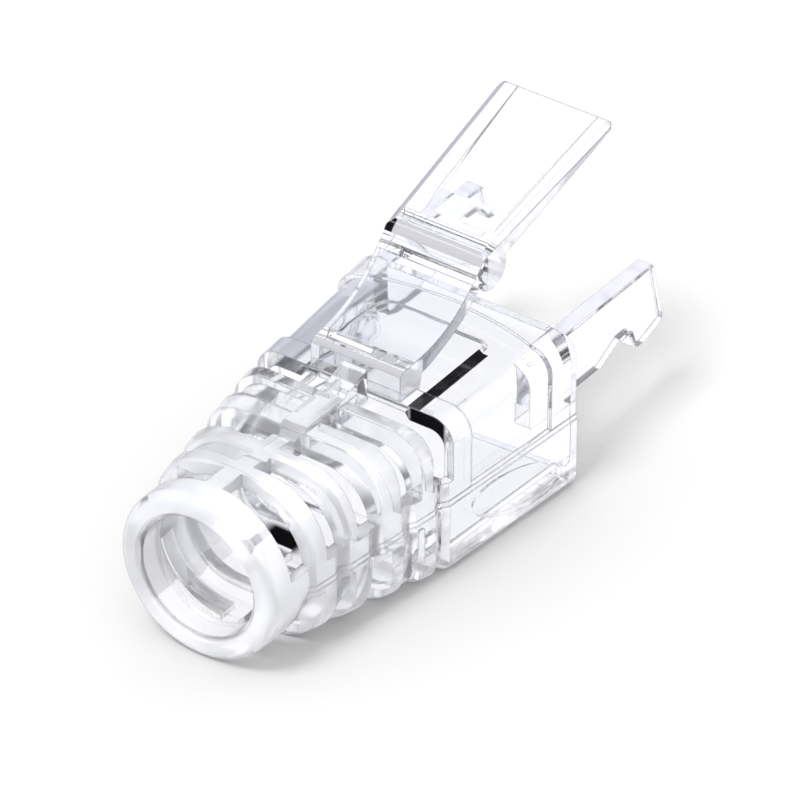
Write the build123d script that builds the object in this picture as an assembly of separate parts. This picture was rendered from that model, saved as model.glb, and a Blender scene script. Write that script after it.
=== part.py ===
from build123d import *
import os

# Strain relief boot for an eight-contact modular plug, moulded in one piece from clear soft PVC.
# Millimetres. +X runs from the cable end to the plug end, +Z is the latch side.
# Every X below is measured from the cable end face, and the finished solid is then centred in X.

# Outside of the body, tapering from the plug end to the shoulder behind the neck
body_length = 24.0
body_height = 9.45
body_width = 14.35
shoulder_x = 13.8
shoulder_height = 9.15
shoulder_width = 12.75
upper_corner_radius = 1.4
lower_corner_radius = 0.7
end_edge = 0.1
parting_height = 4.25
parting_band = 0.3
parting_step = 0.05

# Cable end
collar_od = 9.8
collar_length = 1.75
collar_edge_radius = 0.6
cable_bore = 7.0
bore_mouth_chamfer = 0.3

# Flexible neck of bellows-like segments
neck_start = 3.0
segment_pitch = 2.5
segment_count = 4
segment_crown = 0.3
crown_run = 0.55
# Way through the neck: X, width, height and corner radius
neck_bore_start = (collar_length, 8.7, 8.7, 4.3)
neck_bore_middle = (8.0, 9.5, 7.0, 2.8)
neck_bore_end = (14.5, 10.4, 6.5, 1.7)

# Slots in the quarters of the neck, as ranges of X, between the spines and the side ribs
spine_width = 1.1
side_rib_above = 1.15
side_rib_below = 0.35
upper_slots = [(collar_length, 3.35), (6.6, 8.45), (12.35, 13.9)]
upper_near_slots = [(4.35, 5.8), (9.85, 11.5)]
lower_slots = [(2.9, 4.1), (7.9, 9.15)]
lower_grooves = [(5.6, 6.4), (10.8, 11.6)]
groove_depth = 0.4

# Panel between the rear band and the flange at the plug end
rear_band = 1.6
flange_length = 2.1
panel_depth = 0.17
panel_side_depth = 0.25
panel_bow = 0.95
panel_bow_width = 11.2

# Socket for the rear of the plug
cavity_start = 13.6
cavity_width = 12.2
cavity_rear_width = 11.4
cavity_height = 7.4
cavity_floor = 0.9
cavity_corner_radius = 0.9
channel_end = 21.5
channel_width = 6.9
channel_depth = 0.4
channel_flank = 33
channel_corner_radius = 0.8

# Oval hollow in each lower side wall, its long axis tilted down towards the plug end
dimple_length = 7.5
dimple_height = 2.6
dimple_depth = 0.35
dimple_tilt = 14
dimple_x = 19.05
dimple_z = 2.32

# Latch cover lever, its side outline from the root to the tip
lever_thickness = 0.85
root_x = 13.95
root_height = 10.65
root_depth = 1.85
heel_run = 0.35
heel_rise = 0.2
heel_slope = 0.1
bow_x = 17.6
bow_height = 11.5
bow_slope = 0.4
facet_run = 0.47
facet_rise = 0.53
facet_slope = 1.0
kink_x = 21.3
kink_height = 14.45
tip_x = 32.05
tip_height = 17.15
tip_rake = 0.15
tip_thickness = 0.25
pad_radius = 1.2
pad_setback = 0.45

# Latch cover lever, seen from above
root_width = 5.7
kink_width = 6.2
tip_width = 7.25
tip_corner_radius = 0.45
edge_bevel = 0.35
edge_bevel_drop = 0.2

# Hollow between the rails on the underside of the lever
rail_width = 1.05
recess_depth = 0.45
recess_tip_depth = 0.08
recess_start = 23.3
recess_ramp = 1.2

# Rib from the root of the lever along the top of the neck
gusset_width = 1.5
gusset_start = 11.9
gusset_drop = 0.3
rib_start = 8.4
rib_rise = 0.25
rib_ramp = 0.3

# Pair of hooked arms that reach past the plug end
arm_spacing = 11.2
arm_thickness = 1.08
arm_top = 8.95
arm_height = 4.0
arm_reach = 8.55
arm_rake = 1.0
arm_root = 3.2
arm_end_radius = 0.35
arm_edge = 0.1
notch_back = 4.95
notch_depth = 0.85
notch_slope = 1.7
notch_run = 1.1
barb_drop = 0.6
barb_slope = 0.6
barb_run = 0.6

# Margin for cuts that must pass right through a wall
over = 1.0
# Least flat left beside a corner radius
least_flat = 0.1
# Depth to which the lever and the rib are rooted in the top wall
root_bury = 0.5


def along(x, x0, v0, x1, v1):
    return v0 + (v1 - v0) * (x - x0) / (x1 - x0)


def half_width(x):
    if x < shoulder_x:
        return along(x, 0, collar_od / 2 - least_flat, shoulder_x, shoulder_width / 2)
    return along(x, shoulder_x, shoulder_width / 2, body_length, body_width / 2)


def half_height(x):
    if x < shoulder_x:
        return along(x, 0, collar_od / 2, shoulder_x, shoulder_height / 2)
    return along(x, shoulder_x, shoulder_height / 2, body_length, body_height / 2)


def corner_radius(x, body_radius):
    """Nearly round at the collar, down to the body's own corner at the shoulder."""
    if x < shoulder_x:
        return along(x, 0, collar_od / 2 - least_flat, shoulder_x, body_radius)
    return body_radius


def across(x, height):
    """Plane across the axis, with its own X along the width and its own Y upwards."""
    return Plane(origin=(x, 0, height), x_dir=(0, 1, 0), z_dir=(1, 0, 0))


def section(x, body_radius, side_inset, inset):
    """Rounded rectangle across the axis, its underside on z = 0 before the inset."""
    wide = half_width(x) - side_inset - inset
    high = half_height(x) - inset
    corner = min(corner_radius(x, body_radius), wide - least_flat, high - least_flat)
    return across(x, half_height(x)) * RectangleRounded(2 * wide, 2 * high, corner)


def form_between(stations, body_radius, side_inset):
    """Solid through (x, inset) stations along the axis."""
    faces = [section(x, body_radius, side_inset, inset) for x, inset in stations]
    return loft(faces, ruled=True)


def side_prism(points, width):
    """Solid of the given width about the middle plane, from an outline of (x, z) points."""
    with BuildSketch(Plane.XZ) as side:
        with BuildLine():
            Polyline(*points, points[0])
        make_face()
    return extrude(side.sketch, amount=width / 2, both=True)


def mirrored_plan(half):
    """Face from a half outline of (x, y) points and its mirror image across the axis."""
    outline = half + [(x, -y) for x, y in reversed(half)]
    with BuildSketch(Plane.XY) as plan:
        with BuildLine():
            Polyline(*outline, outline[0])
        make_face()
    return plan.sketch


def collar():
    length = neck_start + crown_run
    body = Cylinder(collar_od / 2, length, align=(Align.CENTER, Align.CENTER, Align.MIN))
    body = fillet(body.edges().sort_by(Axis.Z)[0], collar_edge_radius)
    return across(0, collar_od / 2) * body


def neck_segment(start, body_radius, side_inset):
    """One segment of the neck, lower at both ends than in the middle."""
    end = start + segment_pitch
    stations = [
        (start, segment_crown),
        (start + crown_run, 0),
        (end - crown_run, 0),
        (end, segment_crown),
    ]
    return form_between(stations, body_radius, side_inset)


def plug_end(body_radius, side_inset):
    start = neck_start + segment_count * segment_pitch
    stations = [
        (start, segment_crown),
        (start + crown_run, 0),
        (shoulder_x, 0),
        (body_length - end_edge, 0),
        (body_length, end_edge),
    ]
    return form_between(stations, body_radius, side_inset)


def outer_form(body_radius, side_inset):
    form = plug_end(body_radius, side_inset)
    for index in range(segment_count):
        form += neck_segment(neck_start + index * segment_pitch, body_radius, side_inset)
    return form


def layer(bottom, top):
    """Everything between two heights, over the whole length."""
    length = body_length + 2 * over
    place = Pos(body_length / 2, 0, (bottom + top) / 2)
    return place * Box(length, 2 * body_width, top - bottom)


def recessed_panel():
    """Skin cut from the upper half between the rear band and the bowed edge of the flange."""
    start = shoulder_x + rear_band
    end = body_length - flange_length
    bow = panel_bow_width / 2
    stations = [(start, panel_depth), (end + panel_bow, panel_depth)]
    side_inset = 2 * parting_step + panel_side_depth - panel_depth
    core = form_between(stations, upper_corner_radius, side_inset)
    with BuildSketch(Plane.XY) as plan:
        with BuildLine():
            Polyline(
                (end, -bow),
                (end, -body_width),
                (start, -body_width),
                (start, body_width),
                (end, body_width),
                (end, bow),
            )
            ThreePointArc((end, bow), (end + panel_bow, 0), (end, -bow))
        make_face()
    block = Pos(0, 0, parting_height + parting_band) * extrude(plan.sketch, amount=body_height)
    return block - core


def shell_outside():
    """Lower half, the band above it and the upper half, each a step narrower than the last."""
    band_top = parting_height + parting_band
    lower = outer_form(lower_corner_radius, 0) & layer(-over, parting_height)
    band = outer_form(upper_corner_radius, parting_step) & layer(parting_height, band_top)
    upper = outer_form(upper_corner_radius, 2 * parting_step) & layer(band_top, 2 * body_height)
    return lower + band + upper - recessed_panel() + collar()


def dimples():
    """Oval hollows with flat floors parallel to the tapering side walls."""
    slope = (half_width(body_length) - half_width(shoulder_x)) / (body_length - shoulder_x)
    oval = Ellipse(dimple_length / 2, dimple_height / 2)
    cut = Part()
    for side in (-1, 1):
        floor_y = side * (half_width(dimple_x) - dimple_depth)
        plane = Plane(
            origin=(dimple_x, floor_y, dimple_z),
            x_dir=(1, side * slope, 0),
            z_dir=(-slope, side, 0),
        )
        cut += plane * Rot(0, 0, side * dimple_tilt) * extrude(oval, amount=2 * dimple_depth)
    return cut


def cable_passage():
    """Bore of the collar and the wider, flatter way through the neck."""
    centre = collar_od / 2
    at_start = (Align.CENTER, Align.CENTER, Align.MIN)
    bore = Cylinder(cable_bore / 2, collar_length + 2 * over, align=at_start)
    mouth = Cone(
        cable_bore / 2 + bore_mouth_chamfer, cable_bore / 2, bore_mouth_chamfer, align=at_start
    )
    start, middle, end = [
        across(x, height) * RectangleRounded(wide, high, corner)
        for height, (x, wide, high, corner) in (
            (centre, neck_bore_start),
            (shoulder_height / 2, neck_bore_middle),
            (shoulder_height / 2, neck_bore_end),
        )
    ]
    through = loft([start, middle, end], ruled=True)
    return across(-over, centre) * bore + across(0, centre) * mouth + through


def plug_cavity():
    """Socket for the rear of the plug, wider at its mouth."""
    middle = cavity_floor + cavity_height / 2
    rear = RectangleRounded(cavity_rear_width, cavity_height, cavity_corner_radius)
    mouth = RectangleRounded(cavity_width, cavity_height, cavity_corner_radius)
    faces = [across(cavity_start, middle) * rear, across(body_length + over, middle) * mouth]
    return loft(faces, ruled=True)


def latch_channel():
    """Shallow channel with sloping flanks in the ceiling of the socket."""
    length = channel_end - cavity_start
    with BuildSketch(Plane.XY.offset(cavity_floor + cavity_height)) as plan:
        with Locations((cavity_start, 0)):
            Rectangle(length, channel_width, align=(Align.MIN, Align.CENTER))
        fillet(plan.vertices().sort_by(Axis.X)[-2:], channel_corner_radius)
    return extrude(plan.sketch, amount=channel_depth, taper=channel_flank)


def passage():
    return cable_passage() + plug_cavity() + latch_channel()


def quarter_box(x0, x1, side, above):
    """Block over one quarter of the neck, clear of the spines and the side ribs."""
    y0 = side * spine_width / 2
    y1 = side * body_width
    if above:
        z0, z1 = parting_height + parting_band + side_rib_above, 2 * body_height
    else:
        z0, z1 = -body_height, parting_height - side_rib_below
    place = Pos((x0 + x1) / 2, (y0 + y1) / 2, (z0 + z1) / 2)
    return place * Box(x1 - x0, abs(y1 - y0), z1 - z0)


def slots():
    """Openings that make the neck flexible; two of the upper ones are on the near side only."""
    cut = Part()
    for side in (-1, 1):
        for x0, x1 in upper_slots:
            cut += quarter_box(x0, x1, side, above=True)
        for x0, x1 in lower_slots:
            cut += quarter_box(x0, x1, side, above=False)
    for x0, x1 in upper_near_slots:
        cut += quarter_box(x0, x1, -1, above=True)
    return cut


def grooves():
    """Shallow grooves that do not reach the inside."""
    stations = [(collar_length, groove_depth), (shoulder_x, groove_depth)]
    core = form_between(stations, upper_corner_radius, 0)
    cut = Part()
    for x0, x1 in upper_near_slots:
        cut += quarter_box(x0, x1, 1, above=True)
    for x0, x1 in lower_grooves:
        for side in (-1, 1):
            cut += quarter_box(x0, x1, side, above=False)
    return cut - core


def lever_width(x):
    if x < kink_x:
        return along(x, root_x, root_width, kink_x, kink_width)
    return along(x, kink_x, kink_width, tip_x + tip_rake, tip_width)


def below(point, slope):
    """The point one lever thickness below, square to the slope."""
    length = (1 + slope**2) ** 0.5
    return point[0] + lever_thickness * slope / length, point[1] - lever_thickness / length


def lever_profile():
    """Side outline of the lever: root, curved lower part, kink facet and straight upper part."""
    foot = shoulder_height - root_bury
    heel = (root_x + heel_run, root_height + heel_rise)
    bow = (bow_x, bow_height)
    facet = (kink_x - facet_run, kink_height - facet_rise)
    slope_end = below(facet, facet_slope)
    root_front = (root_x + root_depth, heel[1] - lever_thickness)
    pad_centre = (kink_x + pad_setback, kink_height - pad_radius)
    tip_below = (tip_x + tip_rake, tip_height - tip_thickness)
    rising = [(1, heel_slope), (1, bow_slope), (1, facet_slope)]
    falling = [(-x, -z) for x, z in reversed(rising)]
    with BuildSketch(Plane.XZ) as side:
        with BuildLine():
            Polyline((root_x, foot), (root_x, root_height), heel)
            Spline(heel, bow, facet, tangents=rising)
            Polyline(
                facet, (kink_x, kink_height), (tip_x, tip_height), tip_below, pad_centre, slope_end
            )
            Spline(slope_end, below(bow, bow_slope), root_front, tangents=falling)
            Polyline(root_front, (root_front[0] - heel_run, foot), (root_x, foot))
        make_face()
        with Locations(pad_centre):
            Circle(pad_radius)
    return side.sketch


def lever_underside(x):
    """Height of the underside of the straight part of the lever."""
    return along(
        x,
        kink_x + pad_setback,
        kink_height - pad_radius,
        tip_x + tip_rake,
        tip_height - tip_thickness,
    )


def lever_plan():
    """Outline of the lever seen from above, with rounded tip corners."""
    stations = (root_x - over, root_x, kink_x, tip_x + tip_rake)
    plan = mirrored_plan([(x, lever_width(x) / 2) for x in stations])
    return fillet(plan.vertices().sort_by(Axis.X)[-2:], tip_corner_radius)


def lever_bevels():
    """Cuts along the two long top edges of the straight part of the lever."""
    cut = Part()
    for side in (-1, 1):
        edge = Vector(tip_x - kink_x, side * (tip_width - kink_width) / 2, tip_height - kink_height)
        down = Vector(0, side * edge_bevel, -edge_bevel_drop)
        plane = Plane(
            origin=(kink_x, side * (kink_width / 2 - edge_bevel), kink_height),
            x_dir=edge,
            z_dir=edge.cross(down) * side,
        )
        outward = Align.MIN if side > 0 else Align.MAX
        block = Box(edge.length + over, tip_width, over, align=(Align.MIN, outward, Align.MIN))
        cut += plane * Pos(-over, 0, 0) * block
        cut += plane * block
    return cut


def lever_recess():
    """Hollow between the rails on the underside, open at the tip."""
    ramp_end = recess_start + recess_ramp
    end = tip_x + over
    below = lever_underside(recess_start) - over
    points = [
        (recess_start, lever_underside(recess_start)),
        (ramp_end, lever_underside(ramp_end) + recess_depth),
        (end, lever_underside(end) + recess_tip_depth),
        (end, below),
        (recess_start, below),
    ]
    block = side_prism(points, 2 * tip_width)
    plan = mirrored_plan([(x, lever_width(x) / 2 - rail_width) for x in (recess_start, end)])
    return block & extrude(plan, amount=2 * tip_height)


def lever():
    blade = extrude(lever_profile(), amount=tip_width, both=True)
    blade &= extrude(lever_plan(), amount=2 * tip_height)
    return blade - lever_bevels() - lever_recess()


def root_gusset():
    """Rib that runs down from the lever's root and along the top of the neck."""
    foot = shoulder_height - root_bury
    crest = 2 * half_height(rib_start) + rib_rise
    heel_x = root_x + heel_run
    points = [
        (rib_start, foot),
        (rib_start, crest - rib_rise),
        (rib_start + rib_ramp, crest),
        (gusset_start, crest),
        (root_x, root_height - gusset_drop),
        (heel_x, root_height - gusset_drop),
        (heel_x, foot),
    ]
    return side_prism(points, gusset_width)


def arm_profile():
    """Side outline of one hooked arm."""
    base = arm_top - arm_height
    root = body_length - arm_root
    tip = body_length + arm_reach
    start = tip - notch_back
    notch_end = start + notch_slope + notch_run
    barb = notch_end + barb_slope
    points = [
        (root, arm_top),
        (tip, arm_top),
        (tip + arm_rake, base),
        (barb + barb_run, base - barb_drop),
        (barb, base - barb_drop),
        (notch_end, base + notch_depth),
        (start + notch_slope, base + notch_depth),
        (start, base),
        (root, base),
    ]
    with BuildSketch(Plane.XZ) as side:
        with BuildLine():
            Polyline(*points, points[0])
        make_face()
        fillet(side.vertices().sort_by(Axis.X)[-2:], arm_end_radius)
    return side.sketch


def arms():
    blade = extrude(arm_profile(), amount=arm_thickness / 2, both=True)
    blade = chamfer(blade.edges(), arm_edge)
    return Pos(0, -arm_spacing / 2, 0) * blade + Pos(0, arm_spacing / 2, 0) * blade


def boot():
    body = shell_outside() - dimples()
    body -= passage()
    body -= slots()
    body -= grooves()
    body += root_gusset() + lever() - passage()
    body += arms()
    box = body.bounding_box()
    return Pos(-(box.min.X + box.max.X) / 2, 0, -box.min.Z) * body


os.makedirs("parts", exist_ok=True)
whole = boot()
print("solids", len(whole.solids()), "volume", round(whole.volume, 1), "box", whole.bounding_box())
export_step(whole, "parts/boot.step")
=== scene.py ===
import bpy
import math
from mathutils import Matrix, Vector


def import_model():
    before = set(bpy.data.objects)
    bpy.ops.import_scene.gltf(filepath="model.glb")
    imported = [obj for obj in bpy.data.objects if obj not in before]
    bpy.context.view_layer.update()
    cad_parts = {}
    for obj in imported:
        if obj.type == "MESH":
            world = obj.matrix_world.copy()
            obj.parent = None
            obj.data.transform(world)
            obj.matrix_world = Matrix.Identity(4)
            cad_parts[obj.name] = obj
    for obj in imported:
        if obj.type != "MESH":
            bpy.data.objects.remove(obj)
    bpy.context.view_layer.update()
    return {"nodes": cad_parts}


MM = 0.001

# Camera, from points of the boot matched in the photograph. Here and below, an azimuth is in degrees
# from +X towards +Y, and an elevation in degrees above the floor.
VIEW_AZIMUTH = -144.13
VIEW_ELEVATION = 35.02
VIEW_DISTANCE = 400 * MM
VIEW_TARGET = Vector((-1.851, 0.0, 6.0)) * MM
TARGET_PIXEL = (365.97, 425.34)
IMAGE_SIDE = 800
FOCAL_PIXELS = 7681.98
SENSOR = 36.0
CLIP_NEAR = 0.01
CLIP_FAR = 20.0

PVC_IOR = 1.52
PVC_COLOR = (0.955, 0.962, 0.993)
GLOSS = 0.5
# Milky at the cable end and clear at the plug end: the X where each ends, then the value at each
FROST = (-16.0 * MM, -1.5 * MM)
PVC_ROUGHNESS = (0.24, 0.04)
PVC_CLARITY = (0.6, 1.0)

# Tints of single facets, which stand for reflections of a real studio: all but the last two are painted
# reflections, and the last two, clear and white, only make a facet clearer
PAINTED_BLACK_REFLECTION = (0.006, 0.006, 0.007)
PAINTED_GREY_REFLECTION = (0.33, 0.33, 0.35)
PAINTED_LILAC_REFLECTION = (0.3, 0.305, 0.345)
PAINTED_PALE_REFLECTION = (0.6, 0.6, 0.65)
PAINTED_ROOF_REFLECTION = (0.44, 0.45, 0.5)
PAINTED_PEARL_REFLECTION = (0.86, 0.86, 0.91)
CLEAR = (0.98, 0.98, 1.0)
WHITE = (1.0, 1.0, 1.0)
FAINT_IOR = 1.06
UP = (0, 0, 1)
LENGTHWAYS = (1, 0, 0)
SIDEWAYS = (0, 1, 0)
KINKED = (-0.7, 0, 0.71)
ANY_WAY = 180
CRISP = (0.02, 0.02, 0.02)
# The part of a facet's spread that has its full tint
FACET_CORE = 0.7
FACETS = (
    # facing, spread in degrees, lowest and highest corner and soft edge in millimetres, tint, clarity
    # the kink with a painted grey reflection, then the painted black reflection at its dark far end
    (KINKED, 17, (3.9, -4, 13.7), (4.6, 4, 14.55), CRISP, PAINTED_GREY_REFLECTION, 0.08),
    (KINKED, 17, (3.9, 2.65, 13.7), (4.6, 4, 14.55), (0.02, 0.1, 0.02), PAINTED_BLACK_REFLECTION, 0.0),
    # the lever's heel, a painted grey reflection
    ((-0.5, 0, 0.87), 12, (-2.9, -4, 10.5), (-2.3, 4, 11.0), CRISP, PAINTED_GREY_REFLECTION, 0.15),
    # the far bevel's painted lilac reflection, and the painted pearl reflection on the near side of the
    # lever's upper part
    ((-0.24, 0.48, 0.84), 8, (4.5, 0, 14), (16, 4, 18), CRISP, PAINTED_LILAC_REFLECTION, 0.3),
    (SIDEWAYS, 12, (4.7, -4, 12), (16, -2.9, 18), CRISP, PAINTED_PEARL_REFLECTION, 0.4),
    # the near side of the lever's lower part, a painted lilac reflection
    (SIDEWAYS, 12, (-1.0, -3.6, 9.6), (2.6, -2.6, 12.5), (0.6, 0.02, 0.5), PAINTED_LILAC_REFLECTION, 0.45),
    # the far part of the roof, a painted grey-lilac reflection
    (UP, 80, (-2.7, 4.3, 7.4), (5.0, 7.3, 9.6), (0.3, 0.4, 0.3), PAINTED_ROOF_REFLECTION, 0.35),
    # the latch channel's near flank and the strip of ceiling beside it, the black streak, a painted black
    # reflection
    ((0, 0.84, -0.54), 12, (-2.8, -3.6, 8.2), (3.8, -3.1, 8.8), (0.02, 0.02, 0.05), PAINTED_BLACK_REFLECTION, 0.0),
    (UP, 12, (-2.8, -3.75, 8.2), (3.8, -3.4, 8.4), (0.02, 0.08, 0.05), PAINTED_BLACK_REFLECTION, 0.0),
    # high on the plug end's face towards the neck, the black patch at the streak's end, a painted black
    # reflection
    (LENGTHWAYS, 25, (-3.0, -5.6, 7.3), (-2.7, -3.6, 9.3), (0.05, 0.3, 0.5), PAINTED_BLACK_REFLECTION, 0.0),
    # the slanted face between the neck and the plug end, a painted pearl reflection
    ((0.55, 0.83, 0), 12, (-3.6, -6.6, 0.7), (-2.9, -5.8, 6.5), CRISP, PAINTED_PEARL_REFLECTION, 0.45),
    # the near side of the rib at the lever's root, a painted pearl reflection
    (SIDEWAYS, 12, (-2.75, -3.2, 9.1), (-0.9, -2.7, 10.8), (0.02, 0.02, 0.1), PAINTED_PEARL_REFLECTION, 0.5),
    # the walls round the two arms' roots
    (SIDEWAYS, ANY_WAY, (4.15, -6.12, 4.4), (7.3, -5.0, 9.1), CRISP, WHITE, 1.0),
    (SIDEWAYS, ANY_WAY, (4.15, 5.0, 4.4), (7.3, 6.12, 9.1), CRISP, WHITE, 1.0),
    # the tops of the arms, a painted pale reflection
    (UP, 25, (7.3, -6.1, 8.85), (15.6, -5.1, 9.1), CRISP, PAINTED_PALE_REFLECTION, 0.35),
    (UP, 25, (7.3, 5.1, 8.85), (15.6, 6.1, 9.1), CRISP, PAINTED_PALE_REFLECTION, 0.35),
    # the cable bore, clearer than the milky wall round it
    (SIDEWAYS, ANY_WAY, (-16.5, -3.55, -0.5), (-8.0, 3.55, 8.5), (0.2, 0.05, 0.1), CLEAR, 0.97),
    # the dark crescent on the neck's inner floor, behind the first slot, a painted black reflection
    (UP, 50, (-7.6, 0.7, 0.9), (-6.5, 2.4, 1.5), (0.5, 0.9, 0.1), PAINTED_BLACK_REFLECTION, 0.0),
)

# Round walls are painted grey where they turn away from the eye, a painted shade
RIM_BLEND = 0.5
RIM_TURN = (0.6, 0.98)
RIM_CLARITY = 0.6

# Painted dark outlines at the edges, a painted shade: the turn of the rounded normal over which they come
# in, and their look
EDGE_RADIUS = 0.1 * MM
EDGE_SAMPLES = 5
EDGE_TURN = (0.01, 0.08)
PAINTED_EDGE_SHADE = (0.3, 0.3, 0.34)
EDGE_CLARITY = 0.5
# Their strength on the underside and in the frost, and where each gives way to full strength
EDGE_UNDER = 0.0
EDGE_UNDER_FACING = (-0.6, -0.1)
EDGE_FROST = 0.3
EDGE_FROST_END = (-8.0 * MM, -1.5 * MM)
# They are weaker in these boxes: the dimple, then the kink with the press pad
CALM = (
    ((-1.5, -7.3, 0.9), (6.6, -6.0, 4.3), (0.2, 0.2, 0.2)),
    ((3.8, -3.3, 12.0), (6.4, 3.3, 14.7), (0.2, 0.2, 0.2)),
)
EDGE_CALM = 0.7
# The lever's upper part has the darkest painted outline
LEVER = ((4.6, -4.0, 12.5), (16.0, 4.0, 18.0), (0.2, 0.2, 0.2))
PAINTED_LEVER_EDGE_SHADE = (0.03, 0.03, 0.04)
LEVER_EDGE_CLARITY = 0.3

# Floor: its own colour, what the boot refracts and mirrors of it, and how far that reaches
FLOOR_SIDE = 4.0
FLOOR_COLOR = (0.548, 0.545, 0.54, 1)
FLOOR_THROUGH = (1.07, 1.07, 1.08)
FLOOR_REACH = (0.055, 0.075)

# Studio: a dome, dark at the horizon and white overhead, with one dark card in it
HORIZON_LEVEL = (0.2, 0.2, 0.23)
DOME_LEVEL = (1.26, 1.26, 1.28)
DOME_RISE = (8, 30)
AMBIENT_LEVEL = (1.41, 1.41, 1.43)
CARD_AZIMUTH = 36.0
CARD_ELEVATION = 35.0
CARD_CORE = 8.0
CARD_RIM = 24.0
CARD_LEVEL = (0.12, 0.12, 0.13)
SUN_AZIMUTH = 170.0
SUN_ELEVATION = 61.0
SUN_STRENGTH = 2.1
SUN_ANGLE = 20.0

CLEAR_BOUNCES = 24
OTHER_BOUNCES = 12


def direction(azimuth, elevation):
    a, e = math.radians(azimuth), math.radians(elevation)
    return Vector((math.cos(a) * math.cos(e), math.sin(a) * math.cos(e), math.sin(e)))


def rise(tree, value, start, end, at_start, at_end):
    """A smooth change from one level to another as the value goes from start to end."""
    soft = tree.nodes.new("ShaderNodeMapRange")
    soft.interpolation_type = "SMOOTHSTEP"
    soft.inputs["From Min"].default_value = start
    soft.inputs["From Max"].default_value = end
    soft.inputs["To Min"].default_value = at_start
    soft.inputs["To Max"].default_value = at_end
    tree.links.new(value, soft.inputs["Value"])
    return soft.outputs["Result"]


def blend(tree, factor, first, second):
    """Mixes two colours, each a colour or a socket, by a factor."""
    mix = tree.nodes.new("ShaderNodeMix")
    mix.data_type = "RGBA"
    for name, colour in (("A", first), ("B", second)):
        if isinstance(colour, tuple):
            mix.inputs[name].default_value = (*colour, 1)
        else:
            tree.links.new(colour, mix.inputs[name])
    tree.links.new(factor, mix.inputs["Factor"])
    return mix.outputs["Result"]


def between(tree, factor, first, second):
    """A number that goes from a socket to a value by a factor."""
    mix = tree.nodes.new("ShaderNodeMix")
    mix.inputs["B"].default_value = second
    tree.links.new(first, mix.inputs["A"])
    tree.links.new(factor, mix.inputs["Factor"])
    return mix.outputs["Result"]


def constant(tree, number):
    value = tree.nodes.new("ShaderNodeValue")
    value.outputs[0].default_value = number
    return value.outputs[0]


def maths(tree, operation, *sockets):
    node = tree.nodes.new("ShaderNodeMath")
    node.operation = operation
    for socket, given in zip(node.inputs, sockets):
        tree.links.new(given, socket)
    return node.outputs[0]


def product(tree, *factors):
    total = factors[0]
    for factor in factors[1:]:
        total = maths(tree, "MULTIPLY", total, factor)
    return total


def dot(tree, vector, toward):
    """The dot product of a socket with a vector or with another socket."""
    node = tree.nodes.new("ShaderNodeVectorMath")
    node.operation = "DOT_PRODUCT"
    tree.links.new(vector, node.inputs[0])
    if isinstance(toward, Vector):
        node.inputs[1].default_value = toward
    else:
        tree.links.new(toward, node.inputs[1])
    return node.outputs["Value"]


def coordinate(tree, kind):
    return tree.nodes.new("ShaderNodeTexCoord").outputs[kind]


def axes(tree, vector):
    """The X, Y and Z outputs of a vector."""
    split = tree.nodes.new("ShaderNodeSeparateXYZ")
    tree.links.new(vector, split.inputs[0])
    return split.outputs


def aligned(tree, normal, toward):
    """1 where a normal lies along a direction, either way, and 0 where it is square to it."""
    return maths(tree, "ABSOLUTE", dot(tree, normal, toward))


def inside(tree, low, high, soft):
    """1 in a box of the boot, with corners in millimetres, and 0 beyond its soft walls."""
    factors = []
    place = axes(tree, coordinate(tree, "Object"))
    for axis, start, end, run in zip("XYZ", low, high, soft):
        factors.append(rise(tree, place[axis], (start - run) * MM, start * MM, 0.0, 1.0))
        factors.append(rise(tree, place[axis], end * MM, (end + run) * MM, 1.0, 0.0))
    return product(tree, *factors)


def facet(tree, toward, spread, low, high, soft):
    """1 on the faces in a box that look toward a direction or away from it, and 0 elsewhere."""
    geometry = tree.nodes.new("ShaderNodeNewGeometry")
    turned = aligned(tree, geometry.outputs["True Normal"], Vector(toward).normalized())
    rim = math.cos(math.radians(spread))
    core = math.cos(math.radians(spread * FACET_CORE))
    return product(tree, rise(tree, turned, rim, core, 0.0, 1.0), inside(tree, low, high, soft))


def painted_outline_mask(tree, rounded, along):
    """1 at the edges, where the rounded normal leaves the flat one, and less in the frost and underneath:
    where the dark outlines are painted.
    """
    geometry = tree.nodes.new("ShaderNodeNewGeometry")
    flat = aligned(tree, geometry.outputs["True Normal"], rounded)
    edge = rise(tree, flat, 1.0 - EDGE_TURN[1], 1.0 - EDGE_TURN[0], 1.0, 0.0)
    # The normal's Z, turned outward also on the faces that are seen from within
    outward = rise(tree, geometry.outputs["Backfacing"], 0.0, 1.0, 1.0, -1.0)
    upward = product(tree, axes(tree, geometry.outputs["True Normal"])["Z"], outward)
    above = rise(tree, upward, *EDGE_UNDER_FACING, EDGE_UNDER, 1.0)
    clear = rise(tree, along, *EDGE_FROST_END, EDGE_FROST, 1.0)
    factors = [edge, above, clear]
    for box in CALM:
        factors.append(rise(tree, inside(tree, *box), 0.0, 1.0, 1.0, 1.0 - EDGE_CALM))
    return product(tree, *factors)


def tint(tree, look, here, colour, clarity):
    """Brings a colour and a clarity into the look by a factor."""
    look["Base Color"] = blend(tree, here, look["Base Color"], colour)
    look["Transmission Weight"] = between(tree, here, look["Transmission Weight"], clarity)


def paint_facet_reflections(tree, look):
    """Tints the facets, most of them with painted reflections. The painted black reflections have no gloss,
    and the white facets refract little.
    """
    for toward, spread, low, high, soft, colour, clarity in FACETS:
        here = facet(tree, toward, spread, low, high, soft)
        tint(tree, look, here, colour, clarity)
        if colour == PAINTED_BLACK_REFLECTION:
            look["Specular IOR Level"] = between(tree, here, look["Specular IOR Level"], 0.0)
        if colour == WHITE:
            look["IOR"] = between(tree, here, look["IOR"], FAINT_IOR)


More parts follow.
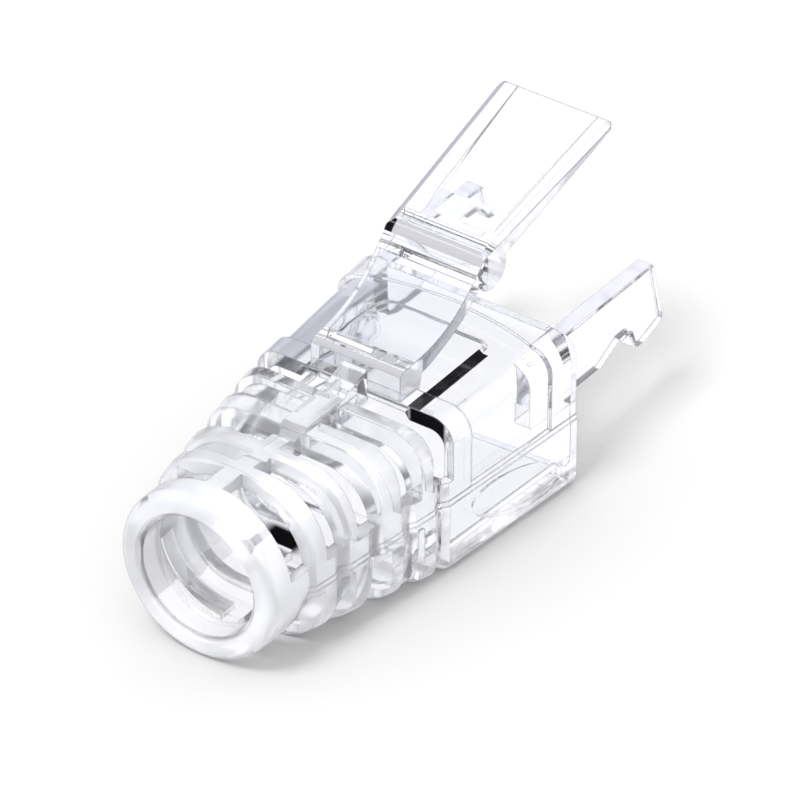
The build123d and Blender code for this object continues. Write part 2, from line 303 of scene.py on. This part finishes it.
def paint_rim_shade(tree, look):
    # Painted grey shade on round walls where they turn away from the eye
    rim = tree.nodes.new("ShaderNodeLayerWeight")
    rim.inputs["Blend"].default_value = RIM_BLEND
    turned = rise(tree, rim.outputs["Facing"], *RIM_TURN, 0.0, 1.0)
    tint(tree, look, turned, PAINTED_EDGE_SHADE, RIM_CLARITY)


def paint_edge_shade(tree, look, rounded, along):
    # Painted shade: dark outlines at the edges, darkest on the lever's upper part
    edge = painted_outline_mask(tree, rounded, along)
    tint(tree, look, edge, PAINTED_EDGE_SHADE, EDGE_CLARITY)
    painted_lever_outline = product(tree, edge, inside(tree, *LEVER))
    tint(tree, look, painted_lever_outline, PAINTED_LEVER_EDGE_SHADE, LEVER_EDGE_CLARITY)


def clear_pvc():
    mat = bpy.data.materials.new("soft_clear_pvc")
    mat.use_nodes = True
    tree = mat.node_tree
    shader = tree.nodes["Principled BSDF"]
    along = axes(tree, coordinate(tree, "Object"))["X"]
    look = {
        "Base Color": PVC_COLOR,
        "Roughness": rise(tree, along, *FROST, *PVC_ROUGHNESS),
        "Transmission Weight": rise(tree, along, *FROST, *PVC_CLARITY),
        "Specular IOR Level": constant(tree, GLOSS),
        "IOR": constant(tree, PVC_IOR),
    }
    bevel = tree.nodes.new("ShaderNodeBevel")
    bevel.samples = EDGE_SAMPLES
    bevel.inputs["Radius"].default_value = EDGE_RADIUS
    paint_facet_reflections(tree, look)
    paint_rim_shade(tree, look)
    paint_edge_shade(tree, look, bevel.outputs["Normal"], along)
    for name, value in look.items():
        tree.links.new(value, shader.inputs[name])
    tree.links.new(bevel.outputs["Normal"], shader.inputs["Normal"])
    return mat


def refracted_floor(tree):
    """What the boot refracts and mirrors of the floor: white near it, and as dark as the horizon beyond."""
    reach = tree.nodes.new("ShaderNodeVectorMath")
    reach.operation = "LENGTH"
    tree.links.new(coordinate(tree, "Object"), reach.inputs[0])
    near = rise(tree, reach.outputs["Value"], *FLOOR_REACH, 1.0, 0.0)
    glow = tree.nodes.new("ShaderNodeEmission")
    tree.links.new(blend(tree, near, HORIZON_LEVEL, FLOOR_THROUGH), glow.inputs["Color"])
    return glow.outputs[0]


def floor_material():
    mat = bpy.data.materials.new("floor_white")
    mat.use_nodes = True
    tree = mat.node_tree
    tree.nodes.clear()
    out = tree.nodes.new("ShaderNodeOutputMaterial")
    diffuse = tree.nodes.new("ShaderNodeBsdfDiffuse")
    diffuse.inputs["Color"].default_value = FLOOR_COLOR
    path = tree.nodes.new("ShaderNodeLightPath")
    through = maths(tree, "MAXIMUM", path.outputs["Is Transmission Ray"], path.outputs["Is Glossy Ray"])
    mix = tree.nodes.new("ShaderNodeMixShader")
    tree.links.new(through, mix.inputs[0])
    tree.links.new(diffuse.outputs[0], mix.inputs[1])
    tree.links.new(refracted_floor(tree), mix.inputs[2])
    tree.links.new(mix.outputs[0], out.inputs["Surface"])
    return mat


def floor():
    mesh = bpy.data.meshes.new("floor")
    s = FLOOR_SIDE / 2
    mesh.from_pydata([(-s, -s, 0), (s, -s, 0), (s, s, 0), (-s, s, 0)], [], [(0, 1, 2, 3)])
    mesh.materials.append(floor_material())
    obj = bpy.data.objects.new("floor", mesh)
    bpy.context.collection.objects.link(obj)


def key_light():
    """A soft sun that casts the shadow. It is left out of the gloss, where it would burn out the lever."""
    data = bpy.data.lights.new("key", "SUN")
    data.energy = SUN_STRENGTH
    data.angle = math.radians(SUN_ANGLE)
    lamp = bpy.data.objects.new("key", data)
    lamp.visible_glossy = False
    lamp.rotation_mode = "QUATERNION"
    lamp.rotation_quaternion = direction(SUN_AZIMUTH, SUN_ELEVATION).to_track_quat("Z", "Y")
    bpy.context.collection.objects.link(lamp)


def dome(tree):
    """Dark at the horizon and white overhead."""
    height = axes(tree, coordinate(tree, "Generated"))["Z"]
    low, high = (math.sin(math.radians(angle)) for angle in DOME_RISE)
    up = rise(tree, height, low, high, 0.0, 1.0)
    return blend(tree, up, HORIZON_LEVEL, DOME_LEVEL)


def card(tree, around):
    """A soft round card in the dome, as the boot sees it."""
    facing = dot(tree, coordinate(tree, "Generated"), direction(CARD_AZIMUTH, CARD_ELEVATION))
    rim = math.cos(math.radians(CARD_RIM))
    core = math.cos(math.radians(CARD_CORE))
    return blend(tree, rise(tree, facing, rim, core, 0.0, 1.0), around, CARD_LEVEL)


def world():
    """The dome and its card for what is refracted and mirrored, and an even level for diffuse light."""
    studio = bpy.data.worlds.new("studio")
    bpy.context.scene.world = studio
    studio.use_nodes = True
    tree = studio.node_tree
    seen = card(tree, dome(tree))
    path = tree.nodes.new("ShaderNodeLightPath")
    light = blend(tree, path.outputs["Is Diffuse Ray"], seen, AMBIENT_LEVEL)
    tree.links.new(light, tree.nodes["Background"].inputs["Color"])


def camera():
    data = bpy.data.cameras.new("camera")
    data.sensor_width = SENSOR
    data.lens = FOCAL_PIXELS / IMAGE_SIDE * SENSOR
    data.shift_x = (IMAGE_SIDE / 2 - TARGET_PIXEL[0]) / IMAGE_SIDE
    data.shift_y = (TARGET_PIXEL[1] - IMAGE_SIDE / 2) / IMAGE_SIDE
    data.clip_start = CLIP_NEAR
    data.clip_end = CLIP_FAR
    cam = bpy.data.objects.new("camera", data)
    back = direction(VIEW_AZIMUTH, VIEW_ELEVATION)
    cam.location = VIEW_TARGET + back * VIEW_DISTANCE
    cam.rotation_mode = "QUATERNION"
    cam.rotation_quaternion = (-back).to_track_quat("-Z", "Y")
    bpy.context.collection.objects.link(cam)
    bpy.context.scene.camera = cam


def cycles():
    scene = bpy.context.scene
    scene.view_settings.view_transform = "Standard"
    scene.cycles.caustics_refractive = True
    scene.cycles.caustics_reflective = False
    scene.cycles.max_bounces = CLEAR_BOUNCES
    scene.cycles.transmission_bounces = CLEAR_BOUNCES
    scene.cycles.glossy_bounces = OTHER_BOUNCES
    scene.cycles.diffuse_bounces = OTHER_BOUNCES


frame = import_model()
boot = frame["nodes"]["boot"]
boot.material_slots[0].material = clear_pvc()
floor()
key_light()
world()
camera()
cycles()
